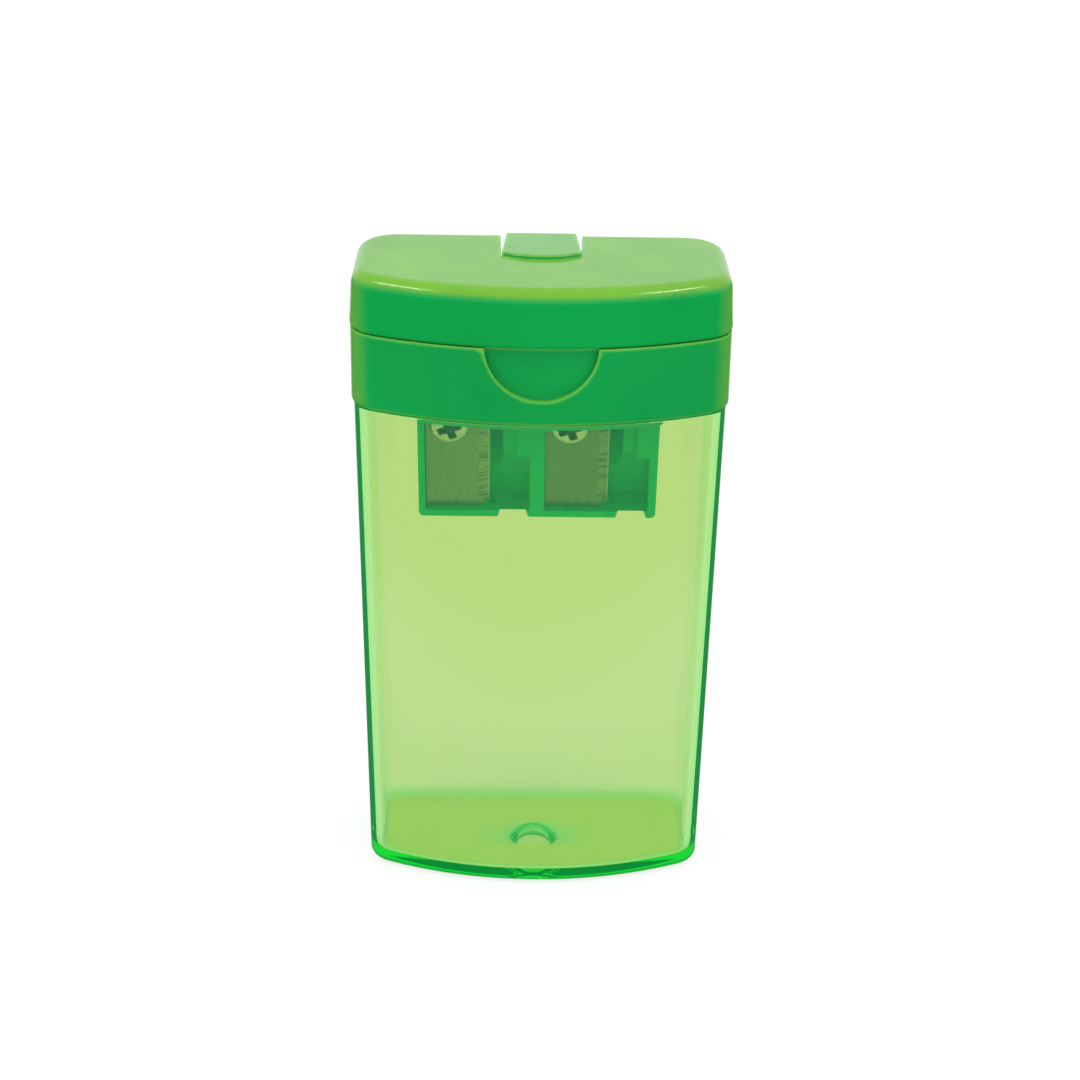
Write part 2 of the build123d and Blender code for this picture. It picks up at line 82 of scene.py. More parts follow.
# ---- blades and screws ----
AXES = {"left": -5.2, "right": 7.9}
BLADE_TILT = 12
BLADE_THICKNESS = 0.5
BLADE_EDGE_OFFSET = 0.25
SEAT_Y = -0.5
SEAT_Z = 44.1
SCREW_ACROSS = -4.60
SCREW_ALONG = 10.85
SCREW_TURN = 20


# ---------------------------------------------------------------- shapes

def outline(inset, back=36, corner=20, side=6, front=110):
    """Points of the flat-backed, bow-fronted outline, moved in by inset, anticlockwise."""
    half = WIDTH / 2 - inset
    rear = DEPTH / 2 - inset
    r = max(CORNER - inset, 0.4)
    bow = BOW_RADIUS - inset
    cy = BOW_CENTRE_Y - math.sqrt((bow - r) ** 2 - (half - r) ** 2)
    lean = math.atan2(cy - BOW_CENTRE_Y, half - r)
    points = []

    def arc(mid_x, mid_y, radius, a0, a1, n):
        for i in range(n):
            a = a0 + (a1 - a0) * i / n
            points.append((mid_x + radius * math.cos(a), mid_y + radius * math.sin(a)))

    def line(p, q, n):
        for i in range(n):
            points.append((p[0] + (q[0] - p[0]) * i / n, p[1] + (q[1] - p[1]) * i / n))

    line((half, cy), (half, rear - r), side)
    arc(half - r, rear - r, r, 0, math.pi / 2, corner)
    line((half - r, rear), (-half + r, rear), back)
    arc(-half + r, rear - r, r, math.pi / 2, math.pi, corner)
    line((-half, rear - r), (-half, cy), side)
    arc(-half + r, cy, r, math.pi, math.pi - lean, corner)
    arc(0, BOW_CENTRE_Y, bow, math.pi - lean, 2 * math.pi + lean, front)
    arc(half - r, cy, r, lean, 0, corner)
    return np.array(points)


def quarter(cx, cz, r, a0, a1, n):
    """Points along a round of the section, as inset and height, with the angles in degrees."""
    return [(cx + r * math.cos(math.radians(a0 + (a1 - a0) * i / n)),
             cz + r * math.sin(math.radians(a0 + (a1 - a0) * i / n))) for i in range(n + 1)]


def mesh_object(name, verts, faces):
    """A smooth-shaded object from points in millimetres."""
    me = bpy.data.meshes.new(name)
    me.from_pydata([tuple(v) for v in np.asarray(verts) * MM], [], faces)
    me.validate()
    ob = bpy.data.objects.new(name, me)
    bpy.context.scene.collection.objects.link(ob)
    bm = bmesh.new()
    bm.from_mesh(me)
    bmesh.ops.remove_doubles(bm, verts=bm.verts, dist=1e-7)
    bmesh.ops.recalc_face_normals(bm, faces=bm.faces)
    bm.to_mesh(me)
    bm.free()
    for p in me.polygons:
        p.use_smooth = True
    return ob


def tub_section():
    """Wall section of the tub from the floor's inside, over the rim, to the underside."""
    def inner(z):
        return TUB_BASE_INSET + TUB_WALL - TUB_LEAN * (z - TUB_FLOOR)

    def outer(z):
        return TUB_BASE_INSET - TUB_LEAN * z

    s = []
    r = TUB_FLOOR_ROUND
    s.append((inner(0) + r + CREASE, TUB_FLOOR))
    s += quarter(inner(TUB_FLOOR + r) + r, TUB_FLOOR + r, r, 270, 180, 8)
    s.append((inner(TUB_FLOOR + r + CREASE), TUB_FLOOR + r + CREASE))
    for z in np.linspace(TUB_FLOOR + r + 3, RIM_Z - 3, 12):
        s.append((inner(z), z))
    e = RIM_ROUND
    s.append((inner(RIM_Z - e - 0.05), RIM_Z - e - 0.05))
    s += quarter(inner(RIM_Z) - e, RIM_Z - e, e, 0, 90, 3)
    s += quarter(TUB_SPIGOT_INSET + e, RIM_Z - e, e, 90, 180, 3)
    s.append((TUB_SPIGOT_INSET, RIM_Z - e - 0.05))
    s.append((TUB_SPIGOT_INSET, SHOULDER_Z + 0.15))
    s.append((TUB_SPIGOT_INSET, SHOULDER_Z + 0.02))
    s.append((TUB_SPIGOT_INSET - 0.02, SHOULDER_Z))
    s.append((TUB_SHOULDER_INSET + 0.14, SHOULDER_Z))
    e = SHOULDER_ROUND
    s += quarter(outer(SHOULDER_Z) + e, SHOULDER_Z - e, e, 90, 180, 3)
    s.append((outer(SHOULDER_Z - 0.16), SHOULDER_Z - 0.16))
    r = TUB_BASE_ROUND
    for z in np.linspace(SHOULDER_Z - 2, r + 2, 14):
        s.append((outer(z), z))
    s.append((outer(r + CREASE), r + CREASE))
    s += quarter(outer(r) + r, r, r, 180, 270, 10)
    s.append((outer(0) + r + CREASE, 0))
    return s


def build_tub():
    """The tub: rings from the nub on its floor, out and over the rim, to the hollow underneath."""
    section = tub_section()
    rings = []
    first = outline(section[0][0])
    last = outline(section[-1][0])
    n = len(first)
    angles = np.arctan2(first[:, 1] - NUB_Y, first[:, 0])

    def circle(radius, z):
        return np.c_[radius * np.cos(angles), NUB_Y + radius * np.sin(angles), np.full(n, z)]

    # floor inside: from the middle of the nub out to the wall
    cap = (NUB_RADIUS ** 2 + NUB_HEIGHT ** 2) / (2 * NUB_HEIGHT)
    for rr in (0.02, 0.35, 0.7, 1.05, 1.4, 1.75, 2.1, 2.4, 2.7, 2.9):
        rings.append(circle(rr, TUB_FLOOR + math.sqrt(cap ** 2 - rr ** 2) - (cap - NUB_HEIGHT)))
    rings.append(circle(NUB_RADIUS + 0.03, TUB_FLOOR + 0.012))
    rings.append(circle(NUB_RADIUS + 0.1, TUB_FLOOR))
    start = circle(NUB_RADIUS + 0.6, TUB_FLOOR)
    rings.append(start)
    for t in (0.3, 0.6, 0.85):
        rings.append(np.c_[start[:, :2] * (1 - t) + first * t, np.full(n, TUB_FLOOR)])

    # the wall, over the rim and down to the underside
    for inset, z in section:
        p = outline(inset)
        rings.append(np.c_[p, np.full(n, z)])

    # underneath: from the wall in to the hollow below the nub
    hollow = (HOLLOW_RADIUS ** 2 + HOLLOW_DEPTH ** 2) / (2 * HOLLOW_DEPTH)
    outer_start = circle(HOLLOW_RADIUS + 0.6, 0.0)
    for t in (0.85, 0.6, 0.3):
        rings.append(np.c_[outer_start[:, :2] * (1 - t) + last * t, np.zeros(n)])
    rings.append(outer_start)
    rings.append(circle(HOLLOW_RADIUS + 0.08, 0.0))
    rings.append(circle(HOLLOW_RADIUS + 0.02, 0.01))
    for rr in (2.05, 1.9, 1.7, 1.45, 1.2, 0.9, 0.6, 0.3, 0.02):
        rings.append(circle(rr, math.sqrt(hollow ** 2 - rr ** 2) - (hollow - HOLLOW_DEPTH)))

    verts = np.concatenate(rings)
    faces = []
    for k in range(len(rings) - 1):
        for i in range(n):
            j = (i + 1) % n
            faces.append((k * n + i, k * n + j, (k + 1) * n + j, (k + 1) * n + i))
    faces.append(tuple(range(n)))
    faces.append(tuple(range((len(rings) - 1) * n, len(rings) * n))[::-1])
    tub = mesh_object("container_clear_tub", verts, faces)
    paint_tub(tub)
    return tub


def paint_tub(tub):
    """Stores where the tub's tint gets painted shade: its foot and nub, and the bends at its side corners.
    """
    foot = tub.data.attributes.new("foot", "FLOAT", "POINT")
    painted_bend_tint = tub.data.attributes.new("painted_bend_tint", "FLOAT", "POINT")
    for i, v in enumerate(tub.data.vertices):
        x, y, z = v.co / MM
        side = abs(v.normal.x)
        painted_bend_tint.data[i].value = ramp(side, 0.45, 0.75) * (1 - ramp(side, 0.9, 0.98))
        r = math.hypot(x, y - NUB_Y)
        if r < NUB_RADIUS + 0.15:
            ring = ramp(r, 0.5, 1.8) * (1 - ramp(r, 2.93, 3.06))
            foot.data[i].value = 0.8 * ramp(y - NUB_Y, -1.6, -0.2) * ring
        else:
            edge = ramp(1 - abs(v.normal.z), 0.02, 0.2) * (1 - ramp(z, 1.5, 2.1))
            foot.data[i].value = edge * (1.0 if z < 1.15 and y < -5 else 0.4)


def merged_copy(node, name):
    """A copy of a CAD node's mesh with its loose triangles joined and its flats made whole."""
    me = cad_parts[node].data.copy()
    me.name = name
    me.materials.clear()
    bm = bmesh.new()
    bm.from_mesh(me)
    bmesh.ops.remove_doubles(bm, verts=bm.verts, dist=1e-6)
    bmesh.ops.dissolve_limit(bm, angle_limit=math.radians(0.3), verts=bm.verts, edges=bm.edges)
    bm.to_mesh(me)
    bm.free()
    old_shading = ("custom_normal", "sharp_face", "sharp_edge")
    for layer in [a.name for a in me.attributes if a.name in old_shading]:
        me.attributes.remove(me.attributes[layer])
    ob = bpy.data.objects.new(name, me)
    bpy.context.scene.collection.objects.link(ob)
    return ob


def edge_points(me, angle=35.0, step=0.15):
    """Points spread along the convex corners of a mesh, for measuring how far a spot is from one."""
    bm = bmesh.new()
    bm.from_mesh(me)
    points = []
    for e in bm.edges:
        if len(e.link_faces) == 2 and e.calc_face_angle_signed(0) > math.radians(angle):
            p, q = e.verts[0].co, e.verts[1].co
            n = max(1, int((q - p).length / (step * MM)))
            points += [p.lerp(q, (i + 0.5) / n) for i in range(n)]
    bm.free()
    tree = KDTree(len(points))
    for i, p in enumerate(points):
        tree.insert(p, i)
    tree.balance()
    return tree


def bake(ob):
    """Turns an object with modifiers into a plain mesh."""
    graph = bpy.context.evaluated_depsgraph_get()
    me = bpy.data.meshes.new_from_object(ob.evaluated_get(graph), depsgraph=graph)
    ob.modifiers.clear()
    ob.data = me


def round_edges(ob, width):
    """Rounds every edge sharper than 35 degrees."""
    bevel = ob.modifiers.new("edge_round", "BEVEL")
    bevel.width = width * MM
    bevel.segments = 2
    bevel.limit_method = "ANGLE"
    bevel.angle_limit = math.radians(35)
    bevel.use_clamp_overlap = True
    bevel.face_strength_mode = "FSTR_ALL"
    bake(ob)


def slice_cells(ob, pitch):
    """Cuts the faces into cells about one pitch wide, so that values painted on points stay local."""
    me = ob.data
    bm = bmesh.new()
    bm.from_mesh(me)
    low = [min(v.co[k] for v in bm.verts) for k in range(3)]
    high = [max(v.co[k] for v in bm.verts) for k in range(3)]
    for k in range(3):
        normal = [0, 0, 0]
        normal[k] = 1
        count = int((high[k] - low[k]) / (pitch * MM))
        for i in range(1, count + 1):
            place = [0, 0, 0]
            place[k] = low[k] + (high[k] - low[k]) * (i - 0.37) / (count + 0.26)
            bmesh.ops.bisect_plane(bm, geom=bm.verts[:] + bm.edges[:] + bm.faces[:], dist=2e-7,
                                   plane_co=place, plane_no=normal)
    bm.to_mesh(me)
    bm.free()


def lower_skirt(ob):
    """Brings the lid's lower edge down to leave only a hairline above the collar."""
    low, high = LID_EDGE_BAND
    for v in ob.data.vertices:
        if v.co.z < high * MM and v.co.z > low * MM:
            v.co.z -= LID_EDGE_DROP * MM


def soften(ob):
    """Smooth shading led by the large faces."""
    for p in ob.data.polygons:
        p.use_smooth = True
    normal = ob.modifiers.new("flat_faces_lead", "WEIGHTED_NORMAL")
    normal.weight = 50
    normal.use_face_influence = True
    bake(ob)


def ramp(x, low, high):
    """0 below low, 1 above high, and a smooth step between."""
    t = min(max((x - low) / (high - low), 0.0), 1.0)
    return t * t * (3 - 2 * t)


def paint(ob, tree, painted_light, inside):
    """Stores how near a corner each point is, how much painted light it gets for its facing and place, and
    whether it is seen through the tub. Those parts are painted brighter, to make up for its tint."""
    me = ob.data
    near = me.attributes.new("corner", "FLOAT", "POINT")
    lit = me.attributes.new("painted_light", "FLOAT", "POINT")
    within = me.attributes.new("inside", "FLOAT", "POINT")
    for i, v in enumerate(me.vertices):
        near.data[i].value = min(tree.find(v.co)[2] / MM, 1.5)
        lit.data[i].value = painted_light(v.co / MM, v.normal)
        within.data[i].value = inside(v.co / MM)


# Painted light on the lid: tops paler, a little more where they face the front, less on the tongue's top,
# and paler far sides.
def lid_painted_light(p, n):
    top = ramp(n.z, 0.25, 0.65) * (0.84 + 0.16 * ramp(-n.y, 0.0, 0.15))
    if p.z > TONGUE_TOP_Z and abs(p.x) < TONGUE_HALF_WIDTH:
        top *= 0.68
    side = 0.6 * ramp(abs(p.x), 18.0, 20.6) * ramp(abs(n.x), 0.25, 0.8)
    return max(top, side)


# Painted light on the collar: paler far sides, underside of the foot and tops.
def collar_painted_light(p, n):
    side = 0.6 * ramp(abs(p.x), 17.8, 20.6) * ramp(abs(n.x), 0.25, 0.8)
    low, high = COLLAR_FOOT_Z
    foot = 0.55 * ramp(-n.z, 0.1, 0.8) * ramp(-p.z, -high, -low)
    return max(side, foot, 0.5 * ramp(n.z, 0.5, 0.9))


# Painted light on the block: paler tops.
def block_painted_light(p, n):
    return 0.45 * ramp(n.z, 0.5, 0.9)


# How much painted light each piece gets where it is seen through the tub: none on the lid.
def never_inside(p):
    return 0.0


def collar_inside(p):
    return 1 - ramp(p.z, 57.0, 57.15)


def block_inside(p):
    return 1 - ramp(p.z, 56.0, 60.0)


# ---------------------------------------------------------------- screws

HEAD_RADIUS = 2.1
HEAD_HEIGHT = 1.15
SHANK_LENGTH = 5.2
CLAMP_TILT = 90.0 + BLADE_TILT


def screw_tree():
    """Node tree of a cross-head screw: turned profile, thread ridge along a helix, cut cross."""
    tree = bpy.data.node_groups.new("cross_screw_maker", "GeometryNodeTree")
    face = tree.interface
    for label, kind, value in (
        ("Head radius", "NodeSocketFloat", HEAD_RADIUS * MM),
        ("Head height", "NodeSocketFloat", HEAD_HEIGHT * MM),
        ("Shank length", "NodeSocketFloat", SHANK_LENGTH * MM),
        ("Thread pitch", "NodeSocketFloat", 0.9 * MM),
        ("Thread depth", "NodeSocketFloat", 0.16 * MM),
        ("Cross width", "NodeSocketFloat", 2.7 * MM),
        ("Cross slot", "NodeSocketFloat", 0.90 * MM),
        ("Cross depth", "NodeSocketFloat", 0.75 * MM),
        ("Turn", "NodeSocketFloat", math.radians(SCREW_TURN)),
        ("Tilt", "NodeSocketFloat", math.radians(CLAMP_TILT)),
        ("Place", "NodeSocketVector", (0, 0, 0)),
        ("Steel", "NodeSocketMaterial", None),
    ):
        s = face.new_socket(name=label, in_out="INPUT", socket_type=kind)
        if value is not None:
            s.default_value = value
    face.new_socket(name="Geometry", in_out="OUTPUT", socket_type="NodeSocketGeometry")
    nodes, links = tree.nodes, tree.links
    given = nodes.new("NodeGroupInput").outputs
    out = nodes.new("NodeGroupOutput")

    def math_node(op, *args):
        n = nodes.new("ShaderNodeMath")
        n.operation = op
        for i, v in enumerate(args):
            if hasattr(v, "links"):
                links.new(v, n.inputs[i])
            else:
                n.inputs[i].default_value = v
        return n.outputs[0]

    def curve(value, points):
        n = nodes.new("ShaderNodeFloatCurve")
        c = n.mapping.curves[0]
        while len(c.points) > 2:
            c.points.remove(c.points[1])
        c.points[0].location, c.points[1].location = points[0], points[-1]
        for p in points[1:-1]:
            c.points.new(*p)
        for p in c.points:
            p.handle_type = "VECTOR"
        n.mapping.update()
        links.new(value, n.inputs["Value"])
        return n.outputs[0]

    grid = nodes.new("GeometryNodeMeshGrid")
    for key, v in (("Size X", 1.0), ("Size Y", 1.0), ("Vertices X", 57), ("Vertices Y", 121)):
        grid.inputs[key].default_value = v
    pos = nodes.new("GeometryNodeInputPosition")
    split = nodes.new("ShaderNodeSeparateXYZ")
    links.new(pos.outputs[0], split.inputs[0])
    around = math_node("MULTIPLY", math_node("ADD", split.outputs[0], 0.5), 2 * math.pi)
    along = math_node("ADD", split.outputs[1], 0.5)
    # radius as a share of the head's, height above and below the seat as shares of head and shank
    radius = curve(along, [(0, 0), (.10, .42), (.17, .72), (.20, .86), (.225, .95), (.25, 1), (.29, 1),
                           (.30, .985), (.34, .56), (.35, .524), (.90, .524), (.985, .08), (1, 0)])
    rise = curve(along, [(0, 1), (.10, .985), (.17, .93), (.20, .82), (.225, .68), (.25, .50), (.29, .03),
                         (.30, 0), (1, 0)])
    drop = curve(along, [(0, 0), (.30, 0), (.34, 0), (.35, .01), (.90, .79), (.985, .985), (1, 1)])
    z = math_node("SUBTRACT", math_node("MULTIPLY", rise, given["Head height"]),
                  math_node("MULTIPLY", drop, given["Shank length"]))
    turns = math_node("DIVIDE", z, given["Thread pitch"])
    phase = math_node("SUBTRACT", math_node("MULTIPLY", turns, 2 * math.pi), around)
    wave = math_node("POWER", math_node("MULTIPLY_ADD", math_node("COSINE", phase), 0.5, 0.5), 2.0)
    shank = curve(along, [(0, 0), (.37, 0), (.41, 1), (.90, 1), (.97, .3), (1, 0)])
    ridge = math_node("MULTIPLY", math_node("MULTIPLY", math_node("SUBTRACT", wave, 1.0), shank),
                      given["Thread depth"])
    r = math_node("ADD", math_node("MULTIPLY", radius, given["Head radius"]), ridge)
    join = nodes.new("ShaderNodeCombineXYZ")
    links.new(math_node("MULTIPLY", r, math_node("COSINE", around)), join.inputs[0])
    links.new(math_node("MULTIPLY", r, math_node("SINE", around)), join.inputs[1])
    links.new(z, join.inputs[2])
    wrap = nodes.new("GeometryNodeSetPosition")
    links.new(grid.outputs["Mesh"], wrap.inputs["Geometry"])
    links.new(join.outputs[0], wrap.inputs["Position"])
    weld = nodes.new("GeometryNodeMergeByDistance")
    weld.inputs["Distance"].default_value = 2e-6
    links.new(wrap.outputs[0], weld.inputs["Geometry"])

    # the cross: two tapered bars, crossed
    size = nodes.new("ShaderNodeCombineXYZ")
    links.new(given["Cross width"], size.inputs[0])
    links.new(given["Cross slot"], size.inputs[1])
    links.new(math_node("MULTIPLY", given["Cross depth"], 2.0), size.inputs[2])
    bar = nodes.new("GeometryNodeMeshCube")
    links.new(size.outputs[0], bar.inputs["Size"])
    taper = nodes.new("GeometryNodeSetPosition")
    place = nodes.new("GeometryNodeInputPosition")
    apart = nodes.new("ShaderNodeSeparateXYZ")
    links.new(place.outputs[0], apart.inputs[0])
    share = math_node("MULTIPLY_ADD", math_node("DIVIDE", apart.outputs[2], given["Cross depth"]), 0.14, 1.0)
    tapered = nodes.new("ShaderNodeCombineXYZ")
    links.new(math_node("MULTIPLY", apart.outputs[0], share), tapered.inputs[0])
    links.new(math_node("MULTIPLY", apart.outputs[1], share), tapered.inputs[1])
    links.new(apart.outputs[2], tapered.inputs[2])
    links.new(bar.outputs["Mesh"], taper.inputs["Geometry"])
    links.new(tapered.outputs[0], taper.inputs["Position"])
    lifted = nodes.new("ShaderNodeCombineXYZ")
    links.new(given["Head height"], lifted.inputs[2])
    cutters = []
    for angle in (0.0, math.pi / 2):
        turn = nodes.new("GeometryNodeTransform")
        links.new(taper.outputs[0], turn.inputs["Geometry"])
        links.new(lifted.outputs[0], turn.inputs["Translation"])
        turn.inputs["Rotation"].default_value = (0, 0, angle)
        cutters.append(turn.outputs[0])
    cut = nodes.new("GeometryNodeMeshBoolean")
    cut.operation = "DIFFERENCE"
    cut.solver = "EXACT"
    links.new(weld.outputs[0], cut.inputs["Mesh 1"])
    for c in cutters:
        links.new(c, cut.inputs["Mesh 2"])

    spin = nodes.new("GeometryNodeTransform")
    spun = nodes.new("ShaderNodeCombineXYZ")
    links.new(given["Turn"], spun.inputs[2])
    links.new(cut.outputs["Mesh"], spin.inputs["Geometry"])
    links.new(spun.outputs[0], spin.inputs["Rotation"])
    lean = nodes.new("GeometryNodeTransform")
    tilt = nodes.new("ShaderNodeCombineXYZ")
    links.new(given["Tilt"], tilt.inputs[0])
    links.new(spin.outputs[0], lean.inputs["Geometry"])
    links.new(tilt.outputs[0], lean.inputs["Rotation"])
    links.new(given["Place"], lean.inputs["Translation"])
    real = nodes.new("GeometryNodeRealizeInstances")
    links.new(lean.outputs[0], real.inputs[0])
    dress = nodes.new("GeometryNodeSetMaterial")
    links.new(real.outputs[0], dress.inputs["Geometry"])
    links.new(given["Steel"], dress.inputs["Material"])
    links.new(dress.outputs[0], out.inputs["Geometry"])
    return tree


def build_screw(name, tree, axis_x, material):
    """One screw from the tree, seated square on its blade, with the depth of its cross stored for painted
    shade.
    """
    ob = bpy.data.objects.new(name, bpy.data.meshes.new(name))
    bpy.context.scene.collection.objects.link(ob)
    maker = ob.modifiers.new("maker", "NODES")
    maker.node_group = tree
    sockets = {s.name: s.identifier for s in tree.interface.items_tree if s.in_out == "INPUT"}
    sine, cosine = math.sin(math.radians(BLADE_TILT)), math.cos(math.radians(BLADE_TILT))
    out = Vector((0, -cosine, -sine))
    upward = Vector((0, -sine, cosine))
    middle = Vector((axis_x, SEAT_Y, SEAT_Z)) + BLADE_THICKNESS * out + SCREW_ALONG * upward
    middle.x += SCREW_ACROSS
    maker[sockets["Place"]] = [c * MM for c in middle]
    maker[sockets["Turn"]] = math.radians(SCREW_TURN)
    maker[sockets["Steel"]] = material
    bake(ob)
    me = ob.data
    bm = bmesh.new()
    bm.from_mesh(me)
    bmesh.ops.remove_doubles(bm, verts=bm.verts, dist=1e-7)
    bmesh.ops.recalc_face_normals(bm, faces=bm.faces)
    for e in bm.edges:
        e.smooth = len(e.link_faces) == 2 and e.calc_face_angle(0) < math.radians(32)
    for f in bm.faces:
        f.smooth = True
    bm.to_mesh(me)
    bm.free()
    deep = me.attributes.new("cross_shade", "FLOAT", "POINT")
    for i, v in enumerate(me.vertices):
        d = v.co / MM - middle
        h = d.dot(out)
        r = (d - h * out).length
        deep.data[i].value = ramp(1.05 - h, 0.12, 0.45) if r < 1.42 and h > 0 else 0.0
    return ob


# ---------------------------------------------------------------- finishes

class Finish:
    """A material under construction: small helpers for its nodes."""

    def __init__(self, name):
        self.material = bpy.data.materials.new(name)
        self.material.use_nodes = True
        self.tree = self.material.node_tree
        self.nodes = self.tree.nodes
        self.shader = self.nodes["Principled BSDF"]
        self.place = self.nodes.new("ShaderNodeTexCoord").outputs["Object"]

    def set(self, **values):
        for key, v in values.items():
            self.shader.inputs[key.replace("_", " ")].default_value = v

    def link(self, value, key):
        self.tree.links.new(value, self.shader.inputs[key])

    def feed(self, node, index, v):
        if hasattr(v, "links"):
            self.tree.links.new(v, node.inputs[index])
        else:
            node.inputs[index].default_value = v

    def calc(self, op, *args, clamp=False):
        n = self.nodes.new("ShaderNodeMath")
        n.operation = op
        n.use_clamp = clamp
        for i, v in enumerate(args):
            self.feed(n, i, v)
        return n.outputs[0]

    def stretch(self, scale, turn=(0, 0, 0), move=(0, 0, 0)):
        n = self.nodes.new("ShaderNodeMapping")
        self.tree.links.new(self.place, n.inputs["Vector"])
        n.inputs["Scale"].default_value = scale
        n.inputs["Rotation"].default_value = turn
        n.inputs["Location"].default_value = move
        return n.outputs[0]

    def noise(self, scale, detail=3.0, rough=0.5, vector=None, distortion=0.0):
        n = self.nodes.new("ShaderNodeTexNoise")
        self.tree.links.new(self.place if vector is None else vector, n.inputs["Vector"])
        n.inputs["Scale"].default_value = scale
        n.inputs["Detail"].default_value = detail
        n.inputs["Roughness"].default_value = rough
        n.inputs["Distortion"].default_value = distortion
        return n.outputs[0]

    def spread(self, value, low, high, to_low, to_high, smooth=False):
        n = self.nodes.new("ShaderNodeMapRange")
        n.interpolation_type = "SMOOTHSTEP" if smooth else "LINEAR"
        for i, v in enumerate((value, low, high, to_low, to_high)):
            self.feed(n, i, v)
        return n.outputs[0]

    def mix(self, share, first, second, mode="MIX"):
        n = self.nodes.new("ShaderNodeMix")
        n.data_type = "RGBA"
        n.blend_type = mode
        self.feed(n, 0, share)
        for index, v in ((6, first), (7, second)):
            if isinstance(v, tuple):
                v = (*v, 1.0) if len(v) == 3 else v
            self.feed(n, index, v)
        return n.outputs[2]

    def painted(self, name):
        n = self.nodes.new("ShaderNodeAttribute")
        n.attribute_name = name
        return n.outputs["Fac"]

    def apart(self, vector):
        n = self.nodes.new("ShaderNodeSeparateXYZ")
        self.tree.links.new(vector, n.inputs[0])
        return n.outputs

    def bump(self, height, strength, distance, under=None):
        n = self.nodes.new("ShaderNodeBump")
        n.inputs["Strength"].default_value = strength
        n.inputs["Distance"].default_value = distance
        self.tree.links.new(height, n.inputs["Height"])
        if under is not None:
            self.tree.links.new(under, n.inputs["Normal"])
        return n.outputs[0]


def moulded_green(name, deep, pale, rim, inside, gloss=0.5):
    """Moulded green plastic: deep green, turned yellow-green by painted light, with painted corner
    highlights.
    """
    f = Finish(name)
    f.set(IOR=1.47, Specular_IOR_Level=gloss)
    flow = f.noise(110, 3.0, 0.55, f.stretch((1, 1, 0.45)))
    cloud = f.noise(420, 2.0, 0.5)
    # Painted light: the stored value, broken up by noise, mixes the deep green towards the pale
    # yellow-green.
    lit = f.calc("MULTIPLY_ADD", f.calc("SUBTRACT", flow, 0.5), 0.20, f.painted("painted_light"))
    lit = f.calc("MULTIPLY_ADD", f.calc("SUBTRACT", cloud, 0.5), 0.10, lit, clamp=True)
    lit = f.calc("MULTIPLY", lit, f.spread(f.painted("painted_light"), 0.0, 0.12, 0.0, 1.0))
    body = f.mix(lit, deep, pale)
    # Painted highlights: near convex corners the colour is mixed towards the lighter rim green.
    body = f.mix(f.spread(f.painted("corner"), 0.08, 0.42, 0.8, 0.0, smooth=True), body, rim)
    # Painted light: parts seen through the tub are drawn a brighter green.
    body = f.mix(f.painted("inside"), body, inside)
    shade = f.spread(flow, 0.3, 0.7, 0.93, 1.07)
    tone = f.nodes.new("ShaderNodeCombineColor")
    for i in range(3):
        f.tree.links.new(shade, tone.inputs[i])
    body = f.mix(1.0, body, tone.outputs[0], "MULTIPLY")
    f.link(body, "Base Color")
    f.link(f.spread(f.noise(1900, 3.0, 0.6), 0.3, 0.7, 0.13, 0.20), "Roughness")
    orange = f.noise(700, 2.0, 0.5)
    skin = f.bump(f.noise(5200, 2.0, 0.5), 0.015, 2e-5)
    f.link(f.bump(orange, 0.025, 4e-5, skin), "Normal")
    return f.material


def clear_tint():
    """Clear plastic tinted yellow-green through its thickness, with painted light and shade in its colour.
    """
    f = Finish("clear_green_tub_plastic")
    # The faint green emission makes the tub glow though it is no lamp: painted light.
    f.set(Transmission_Weight=1.0, IOR=1.46, Emission_Color=(0.0, 1.0, 0.48, 1), Emission_Strength=0.052)
    streak = f.noise(60, 3.0, 0.5, f.stretch((1, 1, 0.3)))
    x, _, z = f.apart(f.place)
    # Painted shade under the collar: the tub is drawn darker and greener above a curve that dips lowest in
    # the middle, lighter below it.
    arch = f.calc("SUBTRACT", z, f.calc("MULTIPLY", f.calc("MULTIPLY", x, x), 35.0))
    shade_under_collar = f.spread(arch, 0.019, 0.030, 0.0, 1.0, smooth=True)
    body = f.mix(shade_under_collar, (1.0, 0.765, 0.70), (0.95, 0.735, 0.57))
    # Painted shade: the bends of the side corners are tinted less green.
    body = f.mix(f.calc("MULTIPLY", f.painted("painted_bend_tint"), 0.8), body, (1.0, 0.70, 0.70))
    body = f.mix(f.spread(z, 0.0012, 0.0022, 1.0, 0.0), body, (0.80, 0.72, 0.15))
    # Painted shade: the foot's rounded edge and the ring round the nub are tinted deeper green.
    body = f.mix(f.painted("foot"), body, (0.20, 0.72, 0.60))
    f.link(f.mix(f.spread(streak, 0.35, 0.65, 0.0, 0.08), body, (1.0, 0.82, 0.80)), "Base Color")
    f.link(f.spread(f.noise(900, 3.0, 0.6), 0.35, 0.7, 0.015, 0.06), "Roughness")
    f.link(f.bump(f.noise(160, 2.0, 0.5), 0.10, 6e-5), "Normal")
    dye = f.nodes.new("ShaderNodeVolumeAbsorption")
    dye.inputs["Color"].default_value = (0.167, 0.933, 0.0, 1)
    dye.inputs["Density"].default_value = 300
    f.tree.links.new(dye.outputs[0], f.nodes["Material Output"].inputs["Volume"])
    return f.material


